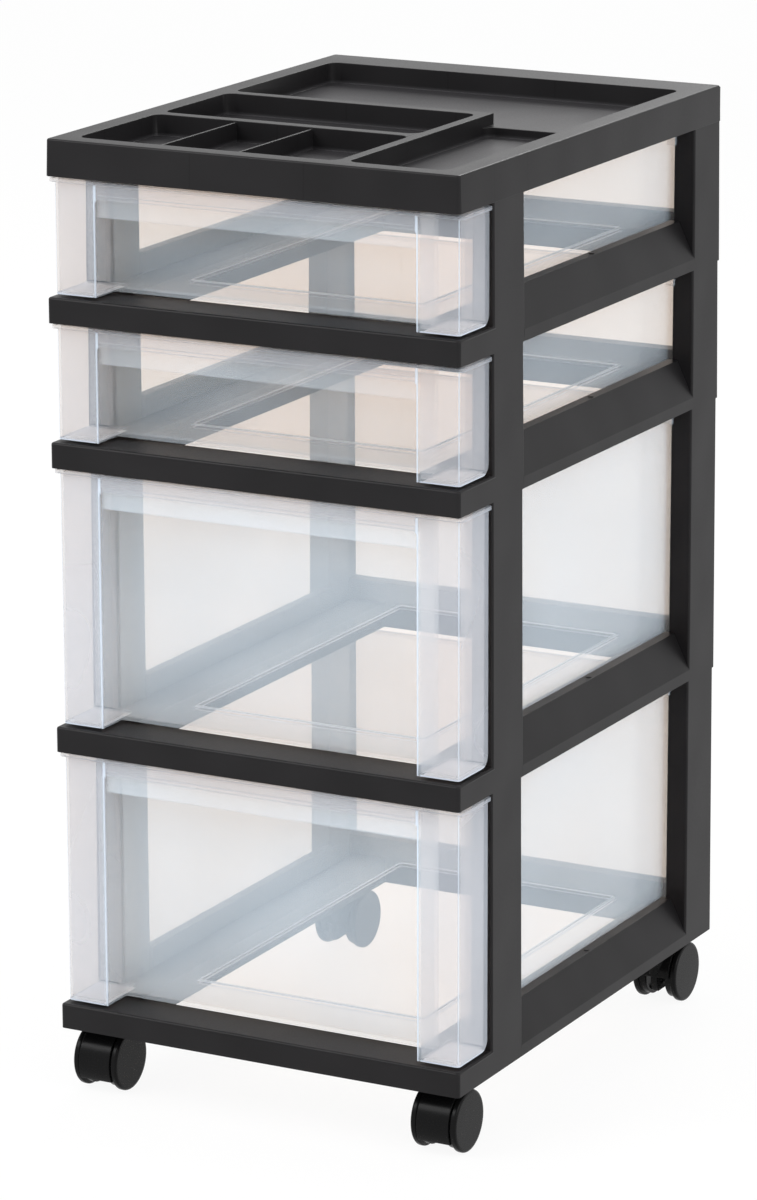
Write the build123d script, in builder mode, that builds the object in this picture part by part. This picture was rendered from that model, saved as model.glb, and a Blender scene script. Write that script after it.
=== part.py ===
"""Drawer tower on twin-wheel casters: four stacked tier frames, four see-through drawers
and a compartment tray on top.

Millimetres. X runs left to right, the drawer fronts face -Y, Z is up. The origin is on the
floor under the middle of the tower.
"""

import math
import os

from build123d import *

os.makedirs("parts", exist_ok=True)

# ------------------------------------------------------------------ driving dimensions
tower_width = 306.0
tower_depth = 400.0
floor_clearance = 47.0  # floor to the underside of the base frame
deep_pitch = 197.0  # height added by one deep tier
shallow_pitch = 98.5  # height added by one shallow tier
tray_height = 25.0  # organizer tray on top of the upper frame

# tier frames
frame_wall = 2.5
band_height = 17.5  # front band and its side returns
band_corner_radius = 2.5
band_edge_radius = 1.6
front_bar_depth = 34.0  # front to back, under the drawer's front wall
post_width = 16.5
front_post_setback = 49.0  # from the front of the band to the front posts
front_post_depth = 45.0
rear_post_depth = 43.0
post_draft = 0.9  # how far the outer faces lean in at the top
post_corner_radius = 1.5
post_cap = 3.0
spigot_height = 9.0
spigot_clearance = 0.3
rail_height = 33.5
rail_toe = 8.0  # upright foot of the sloped side rail
rail_lean = 12.0  # how far the rail's crest stands inside its foot
runner_rise = 1.2  # runner top above the band top
runner_reach = 46.0  # side of the tower to the inner edge of the runner
rear_rail_depth = 12.0
gate_radius = 2.0  # round moulding mark on each side ledge
gate_height = 0.6

# drawers
side_clearance = 0.8  # drawer rim to post, drawer wall to rail
runner_clearance = 0.3
rim_gap = 1.7  # rim to the band above
rear_gap = 4.0  # rim at the back to the rear rail
drawer_wall = 2.0
rim_overhang = 3.0
front_rim_overhang = 2.0
rim_thickness = 2.4
drawer_corner_radius = 10.0
pillar_width = 31.0
pillar_inset = 3.0  # pillar side to band side
pillar_setback = 6.0  # pillar face to band face
pillar_post_gap = 1.5
pillar_heel_radius = 8.0
pillar_edge_radius = 2.5
pillar_inner_radius = 4.0  # front edge towards the pull pocket
pillar_throat_radius = 6.0  # inside corner where pillar and front wall meet
front_wall_setback = 31.0  # band face to the clear front wall
pull_bar_height = 12.0
pull_bar_corner_radius = 3.0
pull_lip_drop = 12.5  # lip below the bar
pull_lip_setback = 3.5
floor_panel_rise = 1.0
floor_panel_margin = 45.0  # drawer wall to the raised floor panel
back_panel_rise = 0.6
gate_mark_radius = 3.0
gate_mark_rise = 0.5
stop_tab_height = 9.5
stop_tab_thickness = 2.5
stop_tab_reach = 3.5  # past the inner face of the posts
stop_tab_gap = 3.0  # tab to the rear post
panel_gap = 3.0  # raised floor panel to the back wall

# organizer tray
tray_wall = 2.5
tray_draft = 1.6  # degrees, wider at the bottom
tray_corner_radius = 3.0
tray_edge_radius = 1.4
rim_side = 16.5
rim_front = 14.5
rim_rear = 34.0
well_depth = 14.5
well_floor = 2.0
well_corner_radius = 8.0
bin_row_depth = 103.0  # three small bins at the front left
long_bin_depth = 88.0
well_wall = 9.0  # between the wells, front to back
side_well_wall = 8.0  # between the left bins and the right bin
bins_width = 193.0
bin_splits = (0.315, 0.615)  # thin dividers, as shares of the row
divider_thickness = 1.8
divider_drop = 1.2
low_wall_drop = 8.0  # wall between the right bin and the rear tray, below the rim
low_wall_thickness = 5.0
low_wall_setback = 1.0  # its front face ahead of the long bin's rear face

# casters
wheel_radius = 21.5
wheel_disc_width = 4.5  # outer disc, beside the hood
wheel_drum_width = 5.0  # inner drum, under the hood
wheel_drum_step = 2.2  # drum radius below disc radius
wheel_edge_radius = 1.5
wheel_hub_radius = 6.0
wheel_drum_wall = 2.5
wheel_dish = 4.0
wheel_gap = 0.5  # hood edge to wheel disc
hub_gap = 0.3  # hood boss to wheel hub
hood_width = 24.0
hood_rise = 0.8  # hood radius above wheel radius
hood_shell = 2.2
hood_web = 5.0
hood_front_angle = 32.0  # the front edge ends this far below the axle
hood_base_gap = 1.0  # hood to the underside of the base
caster_inset = 5.5  # outer wheel face to the side of the tower
caster_trail = 16.5  # stem to axle
axle_setback = 27.0  # axle to the front or back of the tower
axle_radius = 2.5
axle_end_gap = 2.5  # axle end to the wheel's outer face
stem_radius = 4.0
stem_in_frame = 14.0
stem_in_hood = 20.0
boss_wall = 2.5
shaft_clearance = 0.05
pin_bevel = 0.5

# ------------------------------------------------------------------ places worked out
half_width = tower_width / 2
front_y = -tower_depth / 2
rear_y = tower_depth / 2
post_inner_x = half_width - post_width
front_post_y = front_y + front_post_setback + front_post_depth / 2
rear_post_y = rear_y - rear_post_depth / 2
rear_post_face_y = rear_y - rear_post_depth
rim_half_width = post_inner_x - side_clearance
body_half_width = rim_half_width - rim_overhang
rail_inner_x = body_half_width + side_clearance
runner_inner_x = half_width - runner_reach
runner_height = band_height + runner_rise
rear_rail_face_y = rear_y - rear_rail_depth
drawer_lift = runner_height + runner_clearance

tier_pitches = {
    "base_frame": deep_pitch,
    "lower_frame": deep_pitch,
    "middle_frame": shallow_pitch,
    "upper_frame": shallow_pitch,
}
wheel_face_x = hood_width / 2 + wheel_gap + wheel_disc_width  # from the middle of the caster
caster_x = half_width - caster_inset - wheel_face_x
stem_y = rear_y - axle_setback - caster_trail


# ------------------------------------------------------------------ tier frames
def make_tier_frame(bottom_z, pitch, with_sockets):
    """One moulded tier: ring with front band, sloped side rails, rear rail and four posts."""
    return_depth = front_post_setback + frame_wall
    posts = [(front_post_y, front_post_depth), (rear_post_y, rear_post_depth)]
    rail_start_y = front_y + front_post_setback + front_post_depth - frame_wall / 2
    rail_end_y = rear_post_face_y + frame_wall / 2
    rail_middle_y = (rail_start_y + rail_end_y) / 2
    rail_length = rail_end_y - rail_start_y
    ring_plane = Plane.XY.offset(bottom_z)
    cross_plane = Plane.XZ.offset(-rail_middle_y)

    with BuildPart() as tier:
        # front band with its returns along both sides
        with BuildSketch(ring_plane):
            with Locations((0, front_y + return_depth / 2)):
                Rectangle(tower_width, return_depth)
            front_corners = vertices().group_by(Axis.Y)[0]
            fillet(front_corners, band_corner_radius)
        extrude(amount=band_height)
        top_edges = faces().sort_by(Axis.Z)[-1].edges()
        fillet(top_edges.sort_by(Axis.Y)[:-1], band_edge_radius)
        # runners beside the opening, in front of the sloped rails
        with BuildSketch(ring_plane):
            for side in (-1, 1):
                with Locations((side * (runner_inner_x + rail_inner_x) / 2, 0)):
                    Rectangle(rail_inner_x - runner_inner_x, tower_depth - 2 * frame_wall)
        extrude(amount=runner_height)
        with BuildSketch(ring_plane):
            opening_y = front_y + front_bar_depth
            with Locations((0, (opening_y + rear_rail_face_y) / 2)):
                Rectangle(2 * runner_inner_x, rear_rail_face_y - opening_y)
        extrude(amount=runner_height, mode=Mode.SUBTRACT)
        with BuildSketch(ring_plane.offset(band_height)):
            with Locations((0, front_y + front_bar_depth / 2)):
                Rectangle(2 * rail_inner_x, front_bar_depth)
        extrude(amount=runner_rise, mode=Mode.SUBTRACT)
        # sloped side rails
        with BuildSketch(cross_plane):
            with BuildLine():
                Polyline(
                    (half_width, bottom_z),
                    (half_width, bottom_z + rail_toe),
                    (half_width - rail_lean, bottom_z + rail_height),
                    (rail_inner_x, bottom_z + rail_height),
                    (rail_inner_x, bottom_z),
                    close=True,
                )
            make_face()
            mirror(about=Plane.YZ)
        extrude(amount=rail_length / 2, both=True)
        # rear rail between the rear posts
        with BuildSketch(ring_plane):
            with Locations((0, rear_y - rear_rail_depth / 2)):
                Rectangle(2 * (post_inner_x + frame_wall / 2), rear_rail_depth)
        extrude(amount=rail_height)

        # everything so far is a channel, open from below
        void_plane = ring_plane
        with BuildSketch(void_plane):
            with Locations((0, front_y + front_bar_depth / 2)):
                Rectangle(2 * (half_width - frame_wall), front_bar_depth - 2 * frame_wall)
            for side in (-1, 1):
                with Locations((side * (half_width + rail_inner_x) / 2, front_y + return_depth / 2)):
                    Rectangle(half_width - rail_inner_x - 2 * frame_wall, return_depth - 2 * frame_wall)
        extrude(amount=band_height - frame_wall, mode=Mode.SUBTRACT)
        with BuildSketch(void_plane):
            void_start_y = front_y + front_bar_depth
            for side in (-1, 1):
                with Locations(
                    (side * (runner_inner_x + post_inner_x) / 2, (void_start_y + rear_y - frame_wall) / 2)
                ):
                    Rectangle(
                        post_inner_x - runner_inner_x - 2 * frame_wall, rear_y - frame_wall - void_start_y
                    )
        extrude(amount=runner_height - frame_wall, mode=Mode.SUBTRACT)
        with BuildSketch(cross_plane):
            with BuildLine():
                Polyline(
                    (half_width - frame_wall, bottom_z),
                    (half_width - frame_wall, bottom_z + rail_toe),
                    (half_width - rail_lean - frame_wall / 2, bottom_z + rail_height - frame_wall),
                    (post_inner_x, bottom_z + rail_height - frame_wall),
                    (post_inner_x, bottom_z),
                    close=True,
                )
            make_face()
            mirror(about=Plane.YZ)
        extrude(amount=rail_length / 2, both=True, mode=Mode.SUBTRACT)
        with BuildSketch(void_plane):
            with Locations((0, rear_y - rear_rail_depth / 2)):
                Rectangle(2 * post_inner_x, rear_rail_depth - 2 * frame_wall)
        extrude(amount=rail_height - frame_wall, mode=Mode.SUBTRACT)

        # hollow posts that lean in slightly towards the top, each with a spigot
        for side in (-1, 1):
            for post_y, post_depth in posts:
                foot_x = side * (half_width - post_width / 2)
                with BuildSketch(ring_plane):
                    with Locations((foot_x, post_y)):
                        RectangleRounded(post_width, post_depth, post_corner_radius)
                with BuildSketch(ring_plane.offset(pitch)):
                    with Locations((foot_x - side * post_draft / 2, post_y)):
                        RectangleRounded(
                            post_width - post_draft, post_depth - post_draft, post_corner_radius
                        )
                loft()
                inside_width = post_width - post_draft - 2 * frame_wall
                inside_depth = post_depth - post_draft - 2 * frame_wall
                inside_x = foot_x - side * post_draft / 2
                with BuildSketch(ring_plane):
                    with Locations((inside_x, post_y)):
                        Rectangle(inside_width, inside_depth)
                extrude(amount=pitch - post_cap, mode=Mode.SUBTRACT)
                with BuildSketch(ring_plane.offset(pitch)):
                    with Locations((inside_x, post_y)):
                        Rectangle(inside_width - 2 * spigot_clearance, inside_depth - 2 * spigot_clearance)
                extrude(amount=spigot_height)

        # moulding mark on each side ledge, halfway along the window
        with BuildSketch(ring_plane.offset(rail_height)):
            ledge_x = (rail_inner_x + half_width - rail_lean) / 2
            with Locations((-ledge_x, rail_middle_y), (ledge_x, rail_middle_y)):
                Circle(gate_radius)
        extrude(amount=gate_height)

        if with_sockets:
            # sockets that grip the caster stems
            socket_spots = [(x, y) for x in (-caster_x, caster_x) for y in (-stem_y, stem_y)]
            with BuildSketch(ring_plane):
                with Locations(*socket_spots):
                    Circle(stem_radius + shaft_clearance + boss_wall)
            extrude(amount=band_height)
            with BuildSketch(ring_plane):
                with Locations(*socket_spots):
                    Circle(stem_radius + shaft_clearance)
            extrude(amount=stem_in_frame + shaft_clearance, mode=Mode.SUBTRACT)
    return tier.part


tier_bottoms = {}
next_bottom = floor_clearance
for frame_name, pitch in tier_pitches.items():
    tier_bottoms[frame_name] = next_bottom
    frame_part = make_tier_frame(next_bottom, pitch, frame_name == "base_frame")
    frame_part.label = frame_name
    export_step(frame_part, f"parts/{frame_name}.step")
    next_bottom += pitch
tray_bottom = next_bottom
tray_top = tray_bottom + tray_height


# ------------------------------------------------------------------ organizer tray
well_left = -half_width + rim_side
well_front = front_y + rim_front
well_rear = rear_y - rim_rear
bins_right = well_left + bins_width
long_bin_front = well_front + bin_row_depth + well_wall
rear_tray_front = long_bin_front + long_bin_depth + well_wall
right_bin_left = bins_right + side_well_wall
right_bin_rear = long_bin_front + long_bin_depth - low_wall_setback
low_wall_rear = right_bin_rear + low_wall_thickness
well_bottom = tray_top - well_depth

wells = [
    ((well_left, well_front), (bins_right, well_front + bin_row_depth)),
    ((well_left, long_bin_front), (bins_right, long_bin_front + long_bin_depth)),
    ((right_bin_left, well_front), (-well_left, right_bin_rear)),
    ((well_left, rear_tray_front), (-well_left, well_rear)),
    ((right_bin_left, low_wall_rear), (-well_left, (rear_tray_front + well_rear) / 2)),
]

with BuildPart() as organizer_top:
    # outer skirt, open below
    with BuildSketch(Plane.XY.offset(tray_bottom)):
        RectangleRounded(tower_width, tower_depth, tray_corner_radius)
    extrude(amount=tray_height, taper=tray_draft)
    fillet(faces().sort_by(Axis.Z)[-1].edges(), tray_edge_radius)
    with BuildSketch(Plane.XY.offset(tray_bottom)):
        Rectangle(tower_width - 2 * tray_wall - post_draft, tower_depth - 2 * tray_wall - post_draft)
    extrude(amount=tray_height - tray_wall, mode=Mode.SUBTRACT)
    # body of the wells, hanging under the rim
    with BuildSketch(Plane.XY.offset(well_bottom - well_floor)):
        with Locations((0, (well_front + well_rear) / 2)):
            Rectangle(2 * (-well_left + well_floor), well_rear - well_front + 2 * well_floor)
    extrude(amount=well_depth + well_floor - tray_wall / 2)
    # sockets for the spigots of the upper frame
    for post_y, post_depth in ((front_post_y, front_post_depth), (rear_post_y, rear_post_depth)):
        with BuildSketch(Plane.XY.offset(tray_bottom)):
            for side in (-1, 1):
                with Locations((side * (half_width - post_draft - post_width / 2), post_y)):
                    Rectangle(post_width, post_depth - post_draft)
        extrude(amount=tray_height - tray_wall / 2)
        with BuildSketch(Plane.XY.offset(tray_bottom)):
            for side in (-1, 1):
                with Locations((side * (half_width - post_width / 2 - post_draft / 2), post_y)):
                    Rectangle(
                        post_width - post_draft - 2 * frame_wall, post_depth - post_draft - 2 * frame_wall
                    )
        extrude(amount=spigot_height + spigot_clearance, mode=Mode.SUBTRACT)
    # the wells themselves
    with BuildSketch(Plane.XY.offset(well_bottom)):
        for (left, front), (right, rear) in wells:
            with Locations(((left + right) / 2, (front + rear) / 2)):
                RectangleRounded(right - left, rear - front, well_corner_radius)
    extrude(amount=well_depth, mode=Mode.SUBTRACT)
    # the wall between the right bin and the rear tray is a low one
    with BuildSketch(Plane.XY.offset(tray_top - low_wall_drop)):
        low_middle_y = (right_bin_rear + low_wall_rear) / 2
        low_cut = low_wall_thickness + 2 * well_corner_radius
        with Locations(((right_bin_left - well_left) / 2, low_middle_y)):
            Rectangle(-well_left - right_bin_left, low_cut)
    extrude(amount=low_wall_drop, mode=Mode.SUBTRACT)
    # thin dividers in the bin row
    with BuildSketch(Plane.XY.offset(well_bottom)):
        for share in bin_splits:
            with Locations((well_left + share * bins_width, well_front + bin_row_depth / 2)):
                Rectangle(divider_thickness, bin_row_depth)
    extrude(amount=well_depth - divider_drop)

organizer_top.part.label = "organizer_top"
export_step(organizer_top.part, "parts/organizer_top.step")


# ------------------------------------------------------------------ drawers
def make_drawer(bottom_z, height):
    """One moulded drawer: open box, two hollow front pillars, pull bar with lip, rim and tabs."""
    top_z = bottom_z + height
    pillar_outer = half_width - pillar_inset
    pillar_inner = pillar_outer - pillar_width
    pillar_front = front_y + pillar_setback
    pillar_rear = front_y + front_post_setback - pillar_post_gap
    wall_front = front_y + front_wall_setback
    body_rear = rear_rail_face_y - rear_gap - rim_overhang
    body_length = body_rear - wall_front
    pillar_middle = (pillar_outer + pillar_inner) / 2
    floor_plane = Plane.XY.offset(bottom_z)
    inside_plane = Plane.XY.offset(bottom_z + drawer_wall)

    with BuildPart() as drawer:
        # box and front pillars in plan
        with BuildSketch(floor_plane):
            with Locations((0, wall_front + body_length / 2)):
                Rectangle(2 * body_half_width, body_length)
            for side in (-1, 1):
                with Locations((side * pillar_middle, (pillar_front + pillar_rear) / 2)):
                    Rectangle(pillar_width, pillar_rear - pillar_front)
            corner_rows = vertices().group_by(Axis.Y)
            front_row = corner_rows[0].sort_by(Axis.X)
            fillet([front_row[0], front_row[3]], pillar_edge_radius)
            fillet([front_row[1], front_row[2]], pillar_inner_radius)
            fillet(corner_rows[1], pillar_throat_radius)
            fillet(corner_rows[-1], drawer_corner_radius)
        extrude(amount=height)
        # rounded heels at the back of the pillars, in front of the posts
        for side in (-1, 1):
            with BuildSketch(Plane.YZ.offset(side * body_half_width)):
                heel_y = pillar_rear - pillar_heel_radius
                heel_z = bottom_z + pillar_heel_radius
                with Locations((heel_y + pillar_heel_radius, heel_z - pillar_heel_radius)):
                    Rectangle(2 * pillar_heel_radius, 2 * pillar_heel_radius)
                with Locations((heel_y, heel_z)):
                    Circle(pillar_heel_radius, mode=Mode.SUBTRACT)
            extrude(amount=side * pillar_width, mode=Mode.SUBTRACT)
        # pull bar across the top, joined to the wall by a deck
        with BuildSketch(Plane.XZ.offset(-pillar_front)):
            bar_half = pillar_inner + pillar_inner_radius
            with Locations((0, top_z - pull_bar_height / 2 - pull_bar_corner_radius / 2)):
                Rectangle(2 * bar_half, pull_bar_height + pull_bar_corner_radius)
            with Locations((0, top_z - pull_bar_height - pull_bar_height / 2)):
                RectangleRounded(
                    2 * pillar_inner, pull_bar_height, pull_bar_corner_radius, mode=Mode.SUBTRACT
                )
        extrude(amount=-drawer_wall)
        with BuildSketch(Plane.XY.offset(top_z - drawer_wall)):
            with Locations((0, (pillar_front + wall_front + drawer_wall) / 2)):
                Rectangle(2 * bar_half, wall_front + drawer_wall - pillar_front)
        extrude(amount=drawer_wall)
        lip_front = pillar_front + pull_lip_setback
        with BuildSketch(Plane.XY.offset(top_z - pull_bar_height - pull_lip_drop)):
            with Locations((0, lip_front + drawer_wall / 2)):
                Rectangle(2 * pillar_inner + drawer_wall, drawer_wall)
        extrude(amount=pull_lip_drop + drawer_wall)
        with BuildSketch(Plane.XY.offset(top_z - pull_bar_height)):
            with Locations((0, (pillar_front + lip_front + drawer_wall) / 2)):
                Rectangle(2 * pillar_inner + drawer_wall, lip_front + drawer_wall - pillar_front)
        extrude(amount=drawer_wall)
        # rim all round, flush with the band at the front
        with BuildSketch(Plane.XY.offset(top_z - rim_thickness)):
            rim_front = pillar_front - front_rim_overhang
            with Locations((0, (rim_front + pillar_rear) / 2)):
                RectangleRounded(
                    2 * (pillar_outer + rim_overhang), pillar_rear - rim_front, pillar_edge_radius
                )
            with Locations((0, (pillar_rear + body_rear + rim_overhang) / 2)):
                Rectangle(2 * rim_half_width, body_rear + rim_overhang - pillar_rear)
            fillet(vertices().group_by(Axis.Y)[-1], drawer_corner_radius + rim_overhang)
        extrude(amount=rim_thickness)
        # hollow inside: box, then both pillars
        with BuildSketch(inside_plane):
            inner_rear = body_rear - drawer_wall
            inner_front = wall_front + drawer_wall
            with Locations((0, (inner_front + inner_rear) / 2)):
                Rectangle(2 * (body_half_width - drawer_wall), inner_rear - inner_front)
            fillet(vertices().group_by(Axis.Y)[-1], drawer_corner_radius - drawer_wall)
        extrude(amount=height, mode=Mode.SUBTRACT)
        hollow_depth = pillar_rear - pillar_front - 2 * drawer_wall
        for side in (-1, 1):
            with BuildSketch(Plane.YZ.offset(side * pillar_middle)):
                with Locations(((pillar_front + pillar_rear) / 2, bottom_z + drawer_wall + height / 2)):
                    Rectangle(hollow_depth, height)
                heel = vertices().group_by(Axis.Z)[0].sort_by(Axis.Y)[-1]
                fillet(heel, pillar_heel_radius - drawer_wall)
            extrude(amount=pillar_width / 2 - drawer_wall, both=True, mode=Mode.SUBTRACT)
        # raised panel in the floor and up the back wall
        with BuildSketch(inside_plane):
            panel_front = inner_front + floor_panel_margin - drawer_wall
            with Locations((0, (panel_front + inner_rear - panel_gap) / 2)):
                panel_length = inner_rear - panel_gap - panel_front
                RectangleRounded(
                    2 * (body_half_width - floor_panel_margin), panel_length, pillar_edge_radius
                )
        extrude(amount=floor_panel_rise)
        with BuildSketch(inside_plane):
            with Locations((0, inner_rear - back_panel_rise / 2)):
                Rectangle(2 * (body_half_width - floor_panel_margin), back_panel_rise)
        extrude(amount=height - drawer_wall - rim_thickness)
        with BuildSketch(inside_plane.offset(floor_panel_rise)):
            Circle(gate_mark_radius)
        extrude(amount=gate_mark_rise)
        # stop tabs that meet the front posts when the drawer is pulled out
        with BuildSketch(Plane.XY.offset(top_z - stop_tab_height)):
            tab_outer = post_inner_x + stop_tab_reach
            tab_y = rear_post_face_y - stop_tab_gap - stop_tab_thickness / 2
            for side in (-1, 1):
                with Locations((side * (tab_outer + body_half_width - drawer_wall / 2) / 2, tab_y)):
                    Rectangle(tab_outer - body_half_width + drawer_wall / 2, stop_tab_thickness)
        extrude(amount=stop_tab_height)
    return drawer.part


drawer_names = {
    "base_frame": "lower_deep_drawer",
    "lower_frame": "upper_deep_drawer",
    "middle_frame": "lower_shallow_drawer",
    "upper_frame": "upper_shallow_drawer",
}
for frame_name, drawer_name in drawer_names.items():
    drawer_bottom = tier_bottoms[frame_name] + drawer_lift
    drawer_height = tier_pitches[frame_name] - drawer_lift - rim_gap
    drawer_part = make_drawer(drawer_bottom, drawer_height)
    drawer_part.label = drawer_name
    export_step(drawer_part, f"parts/{drawer_name}.step")


# ------------------------------------------------------------------ casters
hood_top_z = floor_clearance - hood_base_gap
wheel_inner_x = wheel_face_x - wheel_disc_width - wheel_drum_width
drum_radius = wheel_radius - wheel_drum_step


def make_hood(centre_x, axle_y, stem_centre_y):
    """Hood over the twin wheels: part drum, middle web, axle boss and upright stem boss."""
    hood_radius = wheel_radius + hood_rise
    front_edge_z = wheel_radius - hood_radius * math.sin(math.radians(hood_front_angle))
    web_plane = Plane.YZ.offset(centre_x)
    axle_spot = (axle_y, wheel_radius)
    with BuildPart() as hood:
        # drum, open underneath and behind the wheels
        with BuildSketch(web_plane):
            with Locations(axle_spot):
                Circle(hood_radius)
                Circle(hood_radius - hood_shell, mode=Mode.SUBTRACT)
            with Locations((stem_centre_y, wheel_radius - hood_radius)):
                Rectangle(2 * caster_trail, 2 * hood_radius, mode=Mode.SUBTRACT)
            with Locations((axle_y, front_edge_z - hood_radius)):
                Rectangle(4 * hood_radius, 2 * hood_radius, mode=Mode.SUBTRACT)
        extrude(amount=hood_width / 2, both=True)
        # middle web
        with BuildSketch(web_plane):
            with Locations(axle_spot):
                Circle(hood_radius - hood_shell / 2)
            with Locations((axle_y, front_edge_z - hood_radius)):
                Rectangle(4 * hood_radius, 2 * hood_radius, mode=Mode.SUBTRACT)
        extrude(amount=hood_web / 2, both=True)
        # axle boss
        with BuildSketch(web_plane):
            with Locations(axle_spot):
                Circle(axle_radius + boss_wall)
        extrude(amount=wheel_inner_x - hub_gap, both=True)
        # upright boss round the stem
        with BuildSketch(Plane.XY.offset(hood_top_z)):
            with Locations((centre_x, stem_centre_y)):
                Circle(stem_radius + shaft_clearance + boss_wall)
        extrude(amount=-(stem_in_hood + boss_wall))
        with BuildSketch(Plane.XY.offset(hood_top_z)):
            with Locations((centre_x, stem_centre_y)):
                Circle(stem_radius + shaft_clearance)
        extrude(amount=-stem_in_hood, mode=Mode.SUBTRACT)
        with BuildSketch(web_plane):
            with Locations(axle_spot):
                Circle(axle_radius + shaft_clearance)
        extrude(amount=hood_width, both=True, mode=Mode.SUBTRACT)
    return hood.part


def make_wheel(centre_x, axle_y, outward):
    """One wheel: outer disc with a rounded rim, narrower drum under the hood, blind axle hole."""
    axle_spot = (axle_y, wheel_radius)
    inner_plane = Plane.YZ.offset(centre_x + outward * wheel_inner_x)
    disc_plane = Plane.YZ.offset(centre_x + outward * (wheel_inner_x + wheel_drum_width))
    with BuildPart() as wheel:
        with BuildSketch(disc_plane):
            with Locations(axle_spot):
                Circle(wheel_radius)
        extrude(amount=outward * wheel_disc_width)
        fillet(edges().filter_by(GeomType.CIRCLE), wheel_edge_radius)
        with BuildSketch(inner_plane):
            with Locations(axle_spot):
                Circle(drum_radius)
        extrude(amount=outward * (wheel_drum_width + wheel_disc_width / 2))
        with BuildSketch(inner_plane):
            with Locations(axle_spot):
                Circle(drum_radius - wheel_drum_wall)
                Circle(wheel_hub_radius, mode=Mode.SUBTRACT)
        extrude(amount=outward * wheel_dish, mode=Mode.SUBTRACT)
        with BuildSketch(inner_plane):
            with Locations(axle_spot):
                Circle(axle_radius + shaft_clearance)
        bore_depth = wheel_face_x - wheel_inner_x - axle_end_gap + shaft_clearance
        extrude(amount=outward * bore_depth, mode=Mode.SUBTRACT)
    return wheel.part


def make_pin(plane, radius, length):
    """Round steel pin along the plane's normal, bevelled at both ends."""
    with BuildPart() as pin:
        with BuildSketch(plane):
            Circle(radius)
        extrude(amount=length)
        chamfer(edges().filter_by(GeomType.CIRCLE), pin_bevel)
    return pin.part


def save_piece(piece, name):
    """Label one finished piece and write its file."""
    piece.label = name
    export_step(piece, f"parts/{name}.step")


for end_name, end_sign in (("front", -1), ("rear", 1)):
    for side_name, side_sign in (("left", -1), ("right", 1)):
        caster_name = f"{end_name}_{side_name}_caster"
        centre_x = side_sign * caster_x
        axle_y = end_sign * (rear_y - axle_setback)
        stem_centre_y = end_sign * stem_y

        stem_start = hood_top_z - stem_in_hood + shaft_clearance
        stem_end = floor_clearance + stem_in_frame
        stem_plane = Plane((centre_x, stem_centre_y, stem_start))
        save_piece(make_pin(stem_plane, stem_radius, stem_end - stem_start), f"{caster_name}_stem")
        save_piece(make_hood(centre_x, axle_y, stem_centre_y), f"{caster_name}_hood")

        axle_half = wheel_face_x - axle_end_gap
        axle_plane = Plane((centre_x - axle_half, axle_y, wheel_radius), z_dir=(1, 0, 0))
        save_piece(make_pin(axle_plane, axle_radius, 2 * axle_half), f"{caster_name}_axle")

        for wheel_side, outward in (("left", -1), ("right", 1)):
            save_piece(make_wheel(centre_x, axle_y, outward), f"{caster_name}_{wheel_side}_wheel")
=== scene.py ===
"""Studio scene of a four-drawer storage tower on casters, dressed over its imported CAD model.

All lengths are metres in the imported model's own frame: X runs left to right, the drawer fronts
face -Y, Z is up, and the origin lies on the floor under the middle of the tower.
"""

import logging
import math
from dataclasses import dataclass
from enum import Enum

import bmesh
import bpy
import numpy as np
from mathutils import Matrix, Vector
from mathutils.bvhtree import BVHTree


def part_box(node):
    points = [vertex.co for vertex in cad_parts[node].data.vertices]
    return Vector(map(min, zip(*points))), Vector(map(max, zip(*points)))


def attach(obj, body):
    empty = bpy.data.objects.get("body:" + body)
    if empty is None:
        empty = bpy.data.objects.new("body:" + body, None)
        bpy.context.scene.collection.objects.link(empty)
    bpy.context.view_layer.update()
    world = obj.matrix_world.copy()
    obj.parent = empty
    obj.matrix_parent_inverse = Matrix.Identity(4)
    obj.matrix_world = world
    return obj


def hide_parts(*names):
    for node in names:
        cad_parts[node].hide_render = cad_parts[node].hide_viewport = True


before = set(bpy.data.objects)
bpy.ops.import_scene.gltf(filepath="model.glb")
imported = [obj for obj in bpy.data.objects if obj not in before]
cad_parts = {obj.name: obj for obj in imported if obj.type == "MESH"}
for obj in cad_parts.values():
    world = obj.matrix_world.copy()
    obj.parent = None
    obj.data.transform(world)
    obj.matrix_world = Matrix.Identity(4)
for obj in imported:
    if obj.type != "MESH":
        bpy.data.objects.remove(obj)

LOG = logging.getLogger("drawer_tower")

Colour = tuple[float, float, float]
Point = tuple[float, float, float]

# Lengths in metres, turns in degrees.
MASK_BLUR = 0.0005  # half the soft edge of a drawer's frost masks
PANEL_BLUR = 0.0004  # half the soft edge of the floor panel's border
# LINE_CORE and LINE_FADE shape the painted highlight lines along the drawers' edges.
LINE_CORE = 0.0005  # a bright edge line is full up to here
LINE_FADE = 0.0014  # and gone from here on
THROAT_INSET = 0.0025  # from the pillar's mask in to the pillar's inner edge
RIM_FROST = 0.8  # frost of the rim, against 1 on the pillars
WELD = 1e-6  # points of a new mesh that lie closer are one
CAD_WELD = 2e-6  # the same for a CAD copy
FLAT_TURN = 0.4  # faces that turn less are one flat
SHARP_TURN = 30.0  # edges that turn more stay crisp
EASED_TURN = 32.0  # edges that turn more are eased, where easing is asked for
BOX_SLACK = 1e-5  # a point this far outside its CAD node's box is stray


class Slot(Enum):
    """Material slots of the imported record."""

    BLACK = "black_plastic"
    CLEAR = "clear_plastic"
    CASTER = "caster_plastic"
    STEEL = "steel"


class Side(Enum):
    """Left or right, as the sign of X."""

    LEFT = -1
    RIGHT = 1

    @property
    def word(self) -> str:
        """Lower-case name of the side."""
        return self.name.lower()


class End(Enum):
    """Front or rear, as the sign of Y."""

    FRONT = -1
    REAR = 1

    @property
    def word(self) -> str:
        """Lower-case name of the end."""
        return self.name.lower()


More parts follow.
